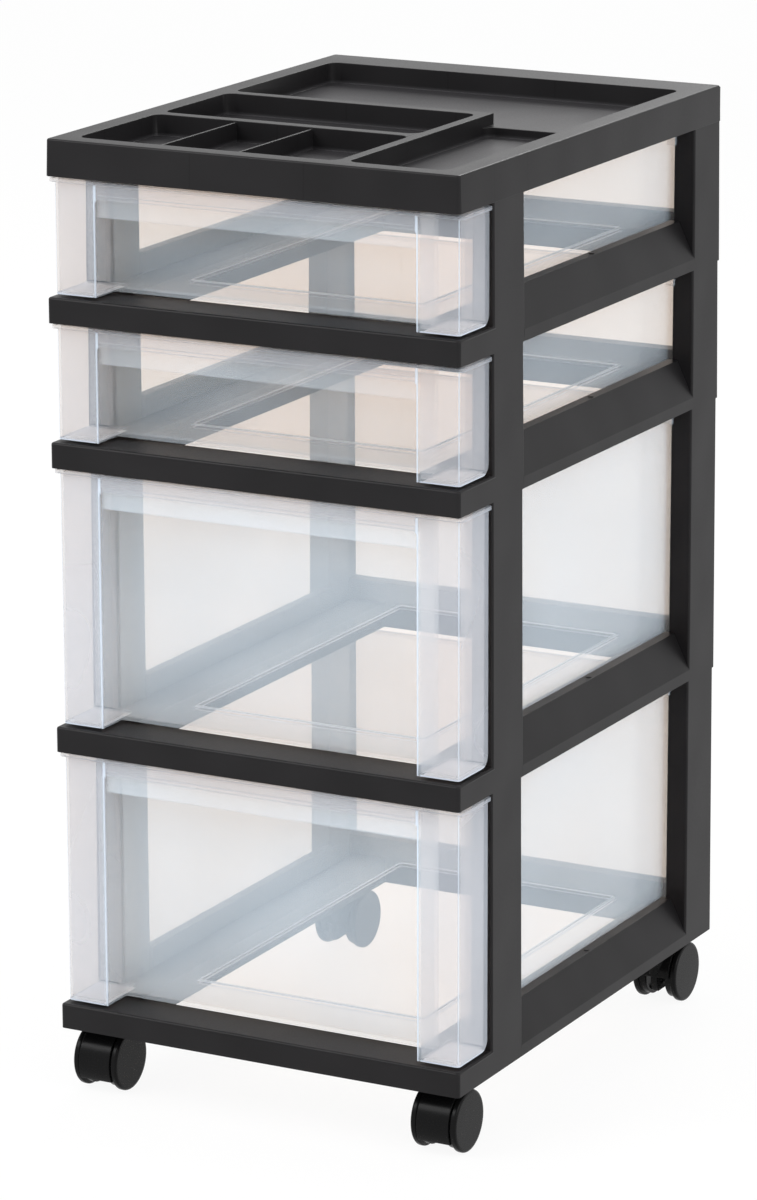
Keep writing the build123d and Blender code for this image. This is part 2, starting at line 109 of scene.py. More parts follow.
# ------------------------------------------------------------------ shader nodes
class NodeBench:
    """Adds nodes to one tree and wires them."""

    def __init__(self, tree: bpy.types.NodeTree) -> None:
        """Keeps the tree.

        Args:
            tree: the material's, world's or group's node tree.
        """
        self.tree = tree

    def add(self, kind: str, **settings: object) -> bpy.types.Node:
        """Adds one node and sets its own properties.

        Args:
            kind: the node's type name.
            settings: property names and values.

        Returns:
            The new node.
        """
        node = self.tree.nodes.new(kind)
        for key, value in settings.items():
            setattr(node, key, value)
        return node

    def feed(self, socket: bpy.types.NodeSocket, value: object) -> None:
        """Wires an output socket to an input, or sets the input to a plain value.

        Args:
            socket: the input socket.
            value: an output socket, a number or a tuple.
        """
        if isinstance(value, bpy.types.NodeSocket):
            self.tree.links.new(value, socket)
        else:
            socket.default_value = value

    def maths(self, operation: str, *values: object, clamp: bool = False) -> bpy.types.NodeSocket:
        """Adds a Math node.

        Args:
            operation: the Math node's operation.
            values: its inputs, sockets or numbers.
            clamp: whether the result is held within 0 to 1.

        Returns:
            The result socket.
        """
        node = self.add("ShaderNodeMath", operation=operation, use_clamp=clamp)
        for socket, value in zip(node.inputs, values):
            self.feed(socket, value)
        return node.outputs[0]

    def ramp(
        self, value: object, low: object, high: object, start: float = 0.0, end: float = 1.0
    ) -> bpy.types.NodeSocket:
        """Adds a smooth Map Range from low..high to start..end.

        Args:
            value: the value to map.
            low: where the ramp starts.
            high: where it ends.
            start: result below low.
            end: result above high.

        Returns:
            The result socket.
        """
        node = self.add("ShaderNodeMapRange", interpolation_type="SMOOTHSTEP")
        for name, item in (
            ("Value", value),
            ("From Min", low),
            ("From Max", high),
            ("To Min", start),
            ("To Max", end),
        ):
            self.feed(node.inputs[name], item)
        return node.outputs["Result"]

    def blend(self, share: object, first: object, second: object) -> bpy.types.NodeSocket:
        """Mixes two colours by a share.

        Args:
            share: 0 gives the first colour and 1 the second.
            first: RGBA tuple or socket.
            second: RGBA tuple or socket.

        Returns:
            The mixed colour.
        """
        node = self.add("ShaderNodeMix", data_type="RGBA")
        self.feed(node.inputs["Factor"], share)
        self.feed(node.inputs[6], first)
        self.feed(node.inputs[7], second)
        return node.outputs[2]


def rgba(colour: Colour) -> tuple[float, float, float, float]:
    """Adds a full alpha to a colour."""
    return (*colour, 1.0)


class Effects:
    """Shared shader node groups, each built once."""

    def __init__(self) -> None:
        """Builds every group."""
        self.grain = self._grain()
        self.cloud = self._cloud()
        self.seam = self._seam()
        self.frost = self._frost()

    @staticmethod
    def _open(
        name: str, takes: dict[str, str], gives: dict[str, str]
    ) -> tuple[NodeBench, bpy.types.Node, bpy.types.Node]:
        """Opens a new group with its sockets.

        Args:
            name: the group's name.
            takes: input names and socket types.
            gives: output names and socket types.

        Returns:
            The bench, the group's input node and its output node.
        """
        tree = bpy.data.node_groups.new(name, "ShaderNodeTree")
        for direction, sockets in (("INPUT", takes), ("OUTPUT", gives)):
            for socket_name, kind in sockets.items():
                tree.interface.new_socket(socket_name, in_out=direction, socket_type=kind)
        bench = NodeBench(tree)
        return bench, bench.add("NodeGroupInput"), bench.add("NodeGroupOutput")

    def _grain(self) -> bpy.types.NodeTree:
        """Fine pebbled tool texture, as one noise that gives height and roughness together.

        Returns:
            The group, with Height and Roughness outputs.
        """
        bench, into, out = self._open(
            "tool_grain",
            {
                "Vector": "NodeSocketVector",
                "Pitch": "NodeSocketFloat",
                "Roughness": "NodeSocketFloat",
                "Spread": "NodeSocketFloat",
            },
            {"Height": "NodeSocketFloat", "Roughness": "NodeSocketFloat"},
        )
        scale = bench.maths("DIVIDE", 1.0, into.outputs["Pitch"])
        fine = bench.add("ShaderNodeTexNoise")
        bench.feed(fine.inputs["Vector"], into.outputs["Vector"])
        bench.feed(fine.inputs["Scale"], scale)
        bench.feed(fine.inputs["Detail"], 1.0)
        bench.feed(out.inputs["Height"], fine.outputs["Fac"])
        speck = bench.maths(
            "MULTIPLY", bench.maths("SUBTRACT", fine.outputs["Fac"], 0.5), into.outputs["Spread"]
        )
        bench.feed(
            out.inputs["Roughness"], bench.maths("ADD", into.outputs["Roughness"], speck, clamp=True)
        )
        return bench.tree

    def _cloud(self) -> bpy.types.NodeTree:
        """Slow unevenness of the melt, as one soft noise.

        Returns:
            The group, with a Cloud output round 1.
        """
        bench, into, out = self._open(
            "melt_cloud",
            {"Vector": "NodeSocketVector", "Scale": "NodeSocketFloat", "Swing": "NodeSocketFloat"},
            {"Cloud": "NodeSocketFloat"},
        )
        noise = bench.add("ShaderNodeTexNoise")
        bench.feed(noise.inputs["Vector"], into.outputs["Vector"])
        bench.feed(noise.inputs["Scale"], into.outputs["Scale"])
        bench.feed(noise.inputs["Detail"], 0.0)
        around = bench.maths("SUBTRACT", noise.outputs["Fac"], 0.5)
        swung = bench.maths("MULTIPLY", around, into.outputs["Swing"])
        bench.feed(out.inputs["Cloud"], bench.maths("ADD", 1.0, swung))
        return bench.tree

    def _seam(self) -> bpy.types.NodeTree:
        """Thin line where one coordinate passes a value: a witness line of the mould.

        Returns:
            The group, with a Line output of 1 on the line.
        """
        bench, into, out = self._open(
            "mould_seam",
            {"Coordinate": "NodeSocketFloat", "At": "NodeSocketFloat", "Width": "NodeSocketFloat"},
            {"Line": "NodeSocketFloat"},
        )
        away = bench.maths(
            "ABSOLUTE", bench.maths("SUBTRACT", into.outputs["Coordinate"], into.outputs["At"])
        )
        bench.feed(out.inputs["Line"], bench.ramp(away, 0.0, into.outputs["Width"], 1.0, 0.0))
        return bench.tree

    def _frost(self) -> bpy.types.NodeTree:
        """Where a drawer's tool is frosted by blasting: pillars, pull bar, rim and the border of its
        floor; also its painted highlight lines.

        The floor's panel is a rectangle centred on x = 0; the distance outside it is the larger of
        |x| - half width and |y - middle| - half length. Edge is painted highlight: bright lines on the
        panel's outline and the pillars' front and bottom edges stand in for light that runs inside the
        walls.

        Returns:
            The group, with Frost (walls), Floor, Border (of the floor) and Edge (painted highlight
            lines) outputs.
        """
        bench, into, out = self._open(
            "drawer_frost",
            {
                "Vector": "NodeSocketVector",
                "Pillar X": "NodeSocketFloat",
                "Pillar Y": "NodeSocketFloat",
                "Bar Y": "NodeSocketFloat",
                "Bar Z": "NodeSocketFloat",
                "Rim Z": "NodeSocketFloat",
                "Floor Z": "NodeSocketFloat",
                "Panel Half Width": "NodeSocketFloat",
                "Panel Half Length": "NodeSocketFloat",
                "Panel Middle": "NodeSocketFloat",
                "Front Y": "NodeSocketFloat",
                "Side X": "NodeSocketFloat",
                "Bottom Z": "NodeSocketFloat",
            },
            {name: "NodeSocketFloat" for name in ("Frost", "Floor", "Border", "Edge")},
        )
        parts = bench.add("ShaderNodeSeparateXYZ")
        bench.feed(parts.inputs[0], into.outputs["Vector"])
        across = bench.maths("ABSOLUTE", parts.outputs["X"])
        along, up = parts.outputs["Y"], parts.outputs["Z"]

        def past(value: object, limit: str) -> bpy.types.NodeSocket:
            """1 where the value is over the limit, with an edge a millimetre wide."""
            over = bench.maths("SUBTRACT", value, into.outputs[limit])
            return bench.ramp(over, -MASK_BLUR, MASK_BLUR)

        beyond = past(along, "Pillar Y")
        before = bench.maths("SUBTRACT", 1.0, beyond)
        pillar = bench.maths("MULTIPLY", past(across, "Pillar X"), before)
        ahead = bench.maths("SUBTRACT", 1.0, past(along, "Bar Y"))
        bar = bench.maths("MULTIPLY", past(up, "Bar Z"), ahead)
        rim = bench.maths("MULTIPLY", past(up, "Rim Z"), RIM_FROST)
        upper = bench.maths("MAXIMUM", bar, rim)
        bench.feed(out.inputs["Frost"], bench.maths("MAXIMUM", pillar, upper))
        low = bench.maths("SUBTRACT", 1.0, past(up, "Floor Z"))
        low = bench.maths("MULTIPLY", low, bench.maths("SUBTRACT", 1.0, pillar))
        bench.feed(out.inputs["Floor"], low)
        aside = bench.maths("SUBTRACT", across, into.outputs["Panel Half Width"])
        off = bench.maths("ABSOLUTE", bench.maths("SUBTRACT", along, into.outputs["Panel Middle"]))
        beyond_end = bench.maths("SUBTRACT", off, into.outputs["Panel Half Length"])
        outside = bench.maths("MAXIMUM", aside, beyond_end)
        border = bench.ramp(outside, -PANEL_BLUR, PANEL_BLUR)
        bench.feed(out.inputs["Border"], bench.maths("MULTIPLY", low, border))

        def near(value: object, limit: object) -> bpy.types.NodeSocket:
            """1 within half a millimetre of the limit, fading to 0 at 1.4 mm."""
            apart = bench.maths("ABSOLUTE", bench.maths("SUBTRACT", value, limit))
            return bench.ramp(apart, LINE_CORE, LINE_FADE, 1.0, 0.0)

        # Painted highlight lines: the panel's outline, the pillars' front corners and their bottom
        # edges.
        panel = bench.maths("MULTIPLY", low, near(outside, 0.0))
        throat = bench.maths("SUBTRACT", into.outputs["Pillar X"], THROAT_INSET)
        upright = bench.maths("MAXIMUM", near(across, into.outputs["Side X"]), near(across, throat))
        upright = bench.maths("MULTIPLY", upright, near(along, into.outputs["Front Y"]))
        foot = bench.maths("MULTIPLY", near(up, into.outputs["Bottom Z"]), pillar)
        pillar_highlights = bench.maths("MAXIMUM", upright, foot)
        bench.feed(out.inputs["Edge"], bench.maths("MAXIMUM", panel, pillar_highlights))
        return bench.tree

    def place(self, bench: NodeBench, group: bpy.types.NodeTree, **values: object) -> bpy.types.Node:
        """Puts a group into a material.

        Args:
            bench: the material's bench.
            group: one of this library's groups.
            values: its inputs; an underscore stands for a space.

        Returns:
            The group node.
        """
        node = bench.add("ShaderNodeGroup", node_tree=group)
        for key, value in values.items():
            bench.feed(node.inputs[key.replace("_", " ")], value)
        return node


def new_material(name: str) -> tuple[bpy.types.Material, NodeBench, bpy.types.Node]:
    """Makes an empty node material.

    Args:
        name: the material's name.

    Returns:
        The material, its bench and its output node.
    """
    material = bpy.data.materials.new(name)
    material.use_nodes = True
    material.node_tree.nodes.clear()
    bench = NodeBench(material.node_tree)
    return material, bench, bench.add("ShaderNodeOutputMaterial")


# ------------------------------------------------------------------ finishes
@dataclass(frozen=True)
class BlackMoulding:
    """Satin black polypropylene with a fine pebbled tool texture, faint witness lines and, on the tray,
    painted light: lighter well floors.
    """

    name: str = "black_moulding"
    colour: Colour = (0.0108, 0.0102, 0.0110)
    roughness: float = 0.38
    spread: float = 0.14
    specular: float = 0.15
    grain_pitch: float = 0.0009
    grain_height: float = 0.00005
    grain_strength: float = 0.22
    sink_depth: float = 0.0010
    cloud_scale: float = 26.0
    cloud_swing: float = 0.5
    floor_z: float = 0.0
    # painted light: a lighter colour for the tray's well floors, standing in for the light they catch
    painted_light_floor_colour: Colour = (0.030, 0.029, 0.031)
    seams_x: tuple[float, ...] = ()
    seams_y: tuple[float, ...] = ()
    seam_width: float = 0.0007
    seam_depth: float = 0.9
    seam_shade: float = 0.35
    well_edges: tuple[tuple[str, float], ...] = (("X", 0.150), ("Y", 0.197))
    well_height: float = 0.002
    well_blur: float = 0.001

    def make(self, effects: Effects) -> bpy.types.Material:
        """Builds the material.

        Args:
            effects: the shared node groups.

        Returns:
            The material.
        """
        material, bench, output = new_material(self.name)
        place = bench.add("ShaderNodeTexCoord").outputs["Object"]
        grain = effects.place(
            bench,
            effects.grain,
            Vector=place,
            Pitch=self.grain_pitch,
            Roughness=self.roughness,
            Spread=self.spread,
        )
        cloud = effects.place(
            bench, effects.cloud, Vector=place, Scale=self.cloud_scale, Swing=self.cloud_swing
        )
        shader = bench.add("ShaderNodeBsdfPrincipled")
        height = grain.outputs["Height"]
        tone = cloud.outputs["Cloud"]
        parts = bench.add("ShaderNodeSeparateXYZ")
        bench.feed(parts.inputs[0], place)
        for axis, spots in (("X", self.seams_x), ("Y", self.seams_y)):
            for spot in spots:
                line = effects.place(
                    bench, effects.seam, Coordinate=parts.outputs[axis], At=spot, Width=self.seam_width
                ).outputs["Line"]
                cut = bench.maths("MULTIPLY", line, self.seam_depth)
                height = bench.maths("SUBTRACT", height, cut)
                shade = bench.maths("MULTIPLY", line, self.seam_shade)
                tone = bench.maths("MULTIPLY", tone, bench.maths("SUBTRACT", 1.0, shade))
        black = bench.blend(tone, (0.0, 0.0, 0.0, 1.0), rgba(self.colour))
        black.node.clamp_factor = False
        # Painted light: the tray's well floors blend to a lighter colour that stands in for the light
        # falling into the wells.
        if self.floor_z > 0.0:
            top = self.floor_z + self.well_height
            painted_light_well = bench.ramp(parts.outputs["Z"], self.floor_z, top, 1.0, 0.0)
            for axis, edge in self.well_edges:
                away = bench.maths("ABSOLUTE", parts.outputs[axis])
                inside = bench.ramp(away, edge - self.well_blur, edge, 1.0, 0.0)
                painted_light_well = bench.maths("MULTIPLY", painted_light_well, inside)
            black = bench.blend(painted_light_well, black, rgba(self.painted_light_floor_colour))
        bench.feed(shader.inputs["Base Color"], black)
        bench.feed(shader.inputs["Roughness"], grain.outputs["Roughness"])
        bench.feed(shader.inputs["Specular IOR Level"], self.specular)
        sink = bench.add("ShaderNodeBump")
        bench.feed(sink.inputs["Strength"], 1.0)
        bench.feed(sink.inputs["Distance"], self.sink_depth)
        bench.feed(sink.inputs["Height"], cloud.outputs["Cloud"])
        bump = bench.add("ShaderNodeBump")
        bench.feed(bump.inputs["Strength"], self.grain_strength)
        bench.feed(bump.inputs["Distance"], self.grain_height)
        bench.feed(bump.inputs["Height"], height)
        bench.feed(bump.inputs["Normal"], sink.outputs["Normal"])
        bench.feed(shader.inputs["Normal"], bump.outputs["Normal"])
        bench.feed(output.inputs["Surface"], shader.outputs[0])
        return material


@dataclass(frozen=True)
class ClearMoulding:
    """See-through drawer plastic: cool haze over a clear wall, frosted where the tool has a blasting
    finish, with painted highlight lines along edges.

    Haze scatters most light forwards, so the light that falls on the inside passes it nearly whole.
    """

    name: str
    rim_z: float
    bar_z: float
    floor_z: float
    bottom_z: float
    haze: float = 0.24
    frost: float = 0.29
    floor: float = 0.045
    border: float = 0.21
    # edge: share of the painted highlight lines along the panel's outline and the pillars' edges
    edge: float = 0.62
    pillar_x: float = 0.1215
    pillar_y: float = -0.1517
    bar_y: float = -0.1898
    front_y: float = -0.1940
    side_x: float = 0.1500
    panel_half_width: float = 0.0877
    panel_half_length: float = 0.150
    panel_middle: float = 0.026
    haze_colour: Colour = (0.67, 0.81, 0.95)
    frost_colour: Colour = (0.56, 0.63, 0.73)
    pass_colour: Colour = (1.0, 0.960, 0.925)
    grazing: float = 0.34
    grazing_power: float = 4.0
    forward: float = 0.75
    cloud_scale: float = 11.0
    cloud_swing: float = 0.5
    smooth: float = 0.14
    frost_and_highlight_gain: float = 0.24
    ior: float = 1.49

    def make(self, effects: Effects) -> bpy.types.Material:
        """Builds the material.

        Args:
            effects: the shared node groups.

        Returns:
            The material.
        """
        material, bench, output = new_material(self.name)
        place = bench.add("ShaderNodeTexCoord").outputs["Object"]
        masks = effects.place(
            bench,
            effects.frost,
            Vector=place,
            Pillar_X=self.pillar_x,
            Pillar_Y=self.pillar_y,
            Bar_Y=self.bar_y,
            Bar_Z=self.bar_z,
            Rim_Z=self.rim_z,
            Floor_Z=self.floor_z,
            Panel_Half_Width=self.panel_half_width,
            Panel_Half_Length=self.panel_half_length,
            Panel_Middle=self.panel_middle,
            Front_Y=self.front_y,
            Side_X=self.side_x,
            Bottom_Z=self.bottom_z,
        ).outputs
        cloud = effects.place(
            bench, effects.cloud, Vector=place, Scale=self.cloud_scale, Swing=self.cloud_swing
        ).outputs["Cloud"]
        facing = bench.add("ShaderNodeLayerWeight")
        bench.feed(facing.inputs["Blend"], 0.5)
        slant = bench.maths("POWER", facing.outputs["Facing"], self.grazing_power)
        slant = bench.maths("MULTIPLY", slant, bench.maths("SUBTRACT", 1.0, masks["Floor"]))
        body = self.haze
        for mask, gain in (
            ("Frost", self.frost - self.haze),
            ("Floor", self.floor - self.haze),
            ("Border", self.border - self.floor),
            ("Edge", self.edge),
        ):
            body = bench.maths("ADD", body, bench.maths("MULTIPLY", masks[mask], gain))
        veil = bench.maths("MULTIPLY", body, cloud)
        share = bench.maths("ADD", veil, bench.maths("MULTIPLY", slant, self.grazing), clamp=True)
        path = bench.add("ShaderNodeLightPath")
        lighting = bench.maths("MAXIMUM", path.outputs["Is Shadow Ray"], path.outputs["Is Diffuse Ray"])
        dimming = bench.maths("SUBTRACT", 1.0, bench.maths("MULTIPLY", lighting, self.forward))
        share = bench.maths("MULTIPLY", share, dimming)
        shader = bench.add("ShaderNodeBsdfPrincipled")
        # Frost and the painted highlight lines both take the frost colour and extra roughness.
        frost_and_highlight = bench.maths("MAXIMUM", masks["Frost"], masks["Edge"])
        tint = bench.blend(frost_and_highlight, rgba(self.haze_colour), rgba(self.frost_colour))
        bench.feed(shader.inputs["Base Color"], tint)
        rougher = bench.maths("MULTIPLY", frost_and_highlight, self.frost_and_highlight_gain)
        bench.feed(shader.inputs["Roughness"], bench.maths("ADD", self.smooth, rougher))
        bench.feed(shader.inputs["IOR"], self.ior)
        clear = bench.add("ShaderNodeBsdfTransparent")
        bench.feed(clear.inputs["Color"], rgba(self.pass_colour))
        mix = bench.add("ShaderNodeMixShader")
        bench.feed(mix.inputs[0], share)
        bench.feed(mix.inputs[1], clear.outputs[0])
        bench.feed(mix.inputs[2], shader.outputs[0])
        bench.feed(output.inputs["Surface"], mix.outputs[0])
        return material


@dataclass(frozen=True)
class TurnedSteel:
    """Plain turned steel of the caster pins, with a fine even grain."""

    name: str = "turned_steel"
    colour: Colour = (0.56, 0.56, 0.57)
    dull_colour: Colour = (0.4, 0.4, 0.41)
    dulling: float = 0.3
    roughness: float = 0.28
    spread: float = 0.2
    grain_pitch: float = 0.0004
    grain_height: float = 0.00002
    grain_strength: float = 0.1
    cloud_scale: float = 90.0
    cloud_swing: float = 0.3

    def make(self, effects: Effects) -> bpy.types.Material:
        """Builds the material.

        Args:
            effects: the shared node groups.

        Returns:
            The material.
        """
        material, bench, output = new_material(self.name)
        place = bench.add("ShaderNodeTexCoord").outputs["Object"]
        grain = effects.place(
            bench,
            effects.grain,
            Vector=place,
            Pitch=self.grain_pitch,
            Roughness=self.roughness,
            Spread=self.spread,
        )
        shader = bench.add("ShaderNodeBsdfPrincipled")
        cloud = effects.place(
            bench, effects.cloud, Vector=place, Scale=self.cloud_scale, Swing=self.cloud_swing
        ).outputs["Cloud"]
        share = bench.maths("SUBTRACT", cloud, self.dulling)
        grey = bench.blend(share, rgba(self.dull_colour), rgba(self.colour))
        bench.feed(shader.inputs["Base Color"], grey)
        bench.feed(shader.inputs["Metallic"], 1.0)
        bench.feed(shader.inputs["Roughness"], grain.outputs["Roughness"])
        bump = bench.add("ShaderNodeBump")
        bench.feed(bump.inputs["Strength"], self.grain_strength)
        bench.feed(bump.inputs["Distance"], self.grain_height)
        bench.feed(bump.inputs["Height"], grain.outputs["Height"])
        bench.feed(shader.inputs["Normal"], bump.outputs["Normal"])
        bench.feed(output.inputs["Surface"], shader.outputs[0])
        return material


# ------------------------------------------------------------------ meshes
def rounded_profile(corners: list[tuple[float, float, float]], steps: int = 6) -> np.ndarray:
    """Open profile with its corners rounded.

    Each corner (a, r, radius) is replaced by an arc: with unit vectors to its two neighbours,
    the arc's ends lie radius / tan(half the corner angle) away along both sides, and the points
    between are spread evenly in angle about the arc's centre, which lies on the bisector.

    Args:
        corners: distance along the axis, distance from the axis and radius of each corner.
        steps: points on each arc, less one.

    Returns:
        Array of points (n, 2).
    """
    spots = np.array([c[:2] for c in corners], float)
    points = []
    for index, (_, _, radius) in enumerate(corners):
        spot = spots[index]
        if radius <= 0.0 or index in (0, len(corners) - 1):
            points.append(spot[None])
            continue
        back = spots[index - 1] - spot
        ahead = spots[index + 1] - spot
        back /= np.linalg.norm(back)
        ahead /= np.linalg.norm(ahead)
        half = math.acos(float(np.clip(back @ ahead, -1.0, 1.0))) / 2
        middle = spot + (back + ahead) / np.linalg.norm(back + ahead) * radius / math.sin(half)
        start = spot + back * radius / math.tan(half) - middle
        end = spot + ahead * radius / math.tan(half) - middle
        sweep = math.pi - 2 * half
        share = np.linspace(0.0, 1.0, steps + 1)[:, None]
        swung = np.sin((1 - share) * sweep) * start + np.sin(share * sweep) * end
        points.append(middle + swung / math.sin(sweep))
    return np.concatenate(points)


def turned_mesh(
    name: str, profile: np.ndarray, centre: np.ndarray, axis: np.ndarray, steps: int = 96
) -> bpy.types.Mesh:
    """Closed surface of revolution.

    With t the turn and (a, r) a point of the profile, a surface point is
    centre + a * axis + r * (cos t * u + sin t * v), where u and v are unit vectors square to the
    axis and to each other. The first and last points of the profile lie on the axis and are poles.

    Args:
        name: the mesh's name.
        profile: points (a, r), the first and last with r = 0.
        centre: the point at a = 0 on the axis.
        axis: unit vector.
        steps: points round the axis.

    Returns:
        The mesh.
    """
    helper = np.array((0.0, 0.0, 1.0)) if abs(axis[2]) < 0.9 else np.array((1.0, 0.0, 0.0))
    u = np.cross(axis, helper)
    u /= np.linalg.norm(u)
    v = np.cross(axis, u)
    turn = np.linspace(0.0, 2 * np.pi, steps, endpoint=False)
    ring = np.cos(turn)[:, None] * u + np.sin(turn)[:, None] * v
    inner = profile[1:-1]
    grid = centre + inner[:, 0, None, None] * axis + inner[:, 1, None, None] * ring[None]
    poles = centre + profile[[0, -1], 0, None] * axis
    rows = len(inner)
    index = np.arange(rows * steps).reshape(rows, steps)
    after = np.roll(index, -1, axis=1)
    quads = np.stack((index[:-1], after[:-1], after[1:], index[1:]), axis=-1).reshape(-1, 4)
    first = np.stack((np.full(steps, rows * steps), after[0], index[0]), axis=-1)
    last = np.stack((np.full(steps, rows * steps + 1), index[-1], after[-1]), axis=-1)
    mesh = bpy.data.meshes.new(name)
    spots = np.concatenate((grid.reshape(-1, 3), poles))
    mesh.from_pydata(spots, [], [*quads.tolist(), *first.tolist(), *last.tolist()])
    return mesh


def flat_sheet(name: str, half: float, steps: int) -> bpy.types.Mesh:
    """Level square sheet: point(i, j) = ((2i/n - 1) * half, (2j/n - 1) * half, 0).

    Args:
        name: the mesh's name.
        half: half its side.
        steps: cells along a side.

    Returns:
        The mesh.
    """
    line = np.linspace(-half, half, steps + 1)
    x, y = np.meshgrid(line, line, indexing="ij")
    index = np.arange((steps + 1) ** 2).reshape(steps + 1, steps + 1)
    quads = np.stack((index[:-1, :-1], index[1:, :-1], index[1:, 1:], index[:-1, 1:]), axis=-1)
    mesh = bpy.data.meshes.new(name)
    spots = np.stack((x, y, np.zeros_like(x)), axis=-1).reshape(-1, 3)
    mesh.from_pydata(spots, [], quads.reshape(-1, 4).tolist())
    return mesh


@dataclass(frozen=True)
class Piece:
    """One finished piece: its object, the body it rides on and the CAD nodes it stands for."""

    name: str
    body: str
    slot: Slot
    stands_for: tuple[str, ...] = ()

    def show(self, mesh: bpy.types.Mesh, material: bpy.types.Material) -> bpy.types.Object:
        """Puts the mesh into the scene and ties it to its body.

        Args:
            mesh: the piece's mesh, in the row frame.
            material: its finish.

        Returns:
            The object.
        """
        mesh.materials.clear()
        mesh.materials.append(material)
        piece = bpy.data.objects.new(self.name, mesh)
        bpy.context.scene.collection.objects.link(piece)
        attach(piece, self.body)
        if self.stands_for:
            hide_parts(*self.stands_for)
        LOG.info("%s on %s: %d faces", self.name, self.body, len(mesh.polygons))
        return piece


def close_up(mesh: bpy.types.Mesh, sharp: float = SHARP_TURN) -> bpy.types.Mesh:
    """Turns the faces of a closed mesh outwards and shades it smooth up to an angle.

    Args:
        mesh: a closed mesh.
        sharp: edges over this many degrees stay crisp.

    Returns:
        The same mesh.
    """
    work = bmesh.new()
    work.from_mesh(mesh)
    bmesh.ops.remove_doubles(work, verts=work.verts, dist=WELD)
    bmesh.ops.recalc_face_normals(work, faces=work.faces)
    work.to_mesh(mesh)
    work.free()
    mesh.shade_smooth()
    mesh.set_sharp_from_angle(angle=math.radians(sharp))
    return mesh


def call_back_strays(mesh: bpy.types.Mesh, source: bpy.types.Mesh, edge: float) -> None:
    """Puts points that the easing threw off the CAD surface back on it.

    A point is stray if it is further from the source than the eased radius, or outside its box.

    Args:
        mesh: the eased mesh.
        source: the CAD node's mesh.
        edge: the eased radius.
    """
    spots = np.empty(len(mesh.vertices) * 3, np.float32)
    mesh.vertices.foreach_get("co", spots)
    spots = spots.reshape(-1, 3)
    corners = np.empty(len(source.vertices) * 3, np.float32)
    source.vertices.foreach_get("co", corners)
    corners = corners.reshape(-1, 3)
    source.calc_loop_triangles()
    faces = np.empty(len(source.loop_triangles) * 3, np.int32)
    source.loop_triangles.foreach_get("vertices", faces)
    skin = BVHTree.FromPolygons(corners.tolist(), faces.reshape(-1, 3).tolist())
    nearest = [skin.find_nearest(spot) for spot in spots.tolist()]
    apart = np.array([found[3] for found in nearest])
    feet = np.array([found[0] for found in nearest])
    below, above = corners.min(0) - BOX_SLACK, corners.max(0) + BOX_SLACK
    outside = ((spots < below) | (spots > above)).any(axis=1)
    stray = (apart > edge) | outside
    spots[stray] = feet[stray]
    mesh.vertices.foreach_set("co", spots.ravel())
    mesh.update()


def bounds_a_flat(edge: bmesh.types.BMEdge, area: float = 1e-4, turn: float = 2.0) -> bool:
    """Tells whether an edge is the rim of a large flat that the next face turns away from.

    Args:
        edge: an edge of a merged CAD copy.
        area: least area of a large flat, in square metres.
        turn: least turn to the next face, in degrees.

    Returns:
        True on such a rim.
    """
    faces = edge.link_faces
    if len(faces) != 2 or max(face.calc_area() for face in faces) < area:
        return False
    return edge.calc_face_angle() > math.radians(turn)


def moulded_copy(
    node: str, edge: float, piece: Piece, material: bpy.types.Material
) -> bpy.types.Object:
    """Copy of a CAD node with its loose triangles merged and, where asked, sharp edges eased.

    Flats are joined first. With an edge radius, a bevel then eases the sharp edges. Without one the
    CAD's own fillets are kept, and each large flat keeps one normal, so that it shades evenly.

    Args:
        node: the CAD node.
        edge: radius given to the sharp edges, or 0.
        piece: the piece's name, body and slot.
        material: its finish.

    Returns:
        The object.
    """
    mesh = bpy.data.meshes.new(piece.name)
    work = bmesh.new()
    work.from_mesh(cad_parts[node].data)
    bmesh.ops.remove_doubles(work, verts=work.verts, dist=CAD_WELD)
    bmesh.ops.dissolve_limit(
        work,
        angle_limit=math.radians(FLAT_TURN),
        use_dissolve_boundaries=False,
        verts=work.verts,
        edges=work.edges,
    )
    rims = [] if edge > 0.0 else [e.index for e in work.edges if bounds_a_flat(e)]
    work.to_mesh(mesh)
    work.free()
    mesh.shade_smooth()
    mesh.set_sharp_from_angle(angle=math.radians(SHARP_TURN))
    for index in rims:
        mesh.edges[index].use_edge_sharp = True
    draft = bpy.data.objects.new(f"{piece.name}_draft", mesh)
    bpy.context.scene.collection.objects.link(draft)
    if edge > 0.0:
        bevel = draft.modifiers.new("eased_edges", "BEVEL")
        bevel.width = edge
        bevel.segments = 2
        bevel.limit_method = "ANGLE"
        bevel.angle_limit = math.radians(EASED_TURN)
        bevel.use_clamp_overlap = False
        bevel.loop_slide = False
        bevel.harden_normals = True
    shaped = draft.evaluated_get(bpy.context.evaluated_depsgraph_get())
    finished = bpy.data.meshes.new_from_object(shaped)
    bpy.data.objects.remove(draft)
    finished.name = piece.name
    if edge > 0.0:
        call_back_strays(finished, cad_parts[node].data, edge)
    return piece.show(finished, material)


# ------------------------------------------------------------------ sub-assemblies
@dataclass
class TierFrame:
    """One black tier frame: front band, sloped side rails, rear rail and four posts."""

    node: str
    body: str = "tower"

    def build(self, finish: bpy.types.Material) -> bpy.types.Object:
        """Makes the frame.

        Args:
            finish: the black moulding.

        Returns:
            The frame's piece.
        """
        piece = Piece(f"{self.node}_moulding", self.body, Slot.BLACK, (self.node,))
        return moulded_copy(self.node, 0.0, piece, finish)


@dataclass
class OrganizerTop:
    """The open compartment tray that closes the tower."""

    node: str = "organizer_top"
    body: str = "tower"
    edge: float = 0.0004

    def build(self, finish: bpy.types.Material) -> bpy.types.Object:
        """Makes the tray.

        Args:
            finish: the black moulding with the tray's witness lines.

        Returns:
            The tray's piece.
        """
        piece = Piece("organizer_top_moulding", self.body, Slot.BLACK, (self.node,))
        return moulded_copy(self.node, self.edge, piece, finish)


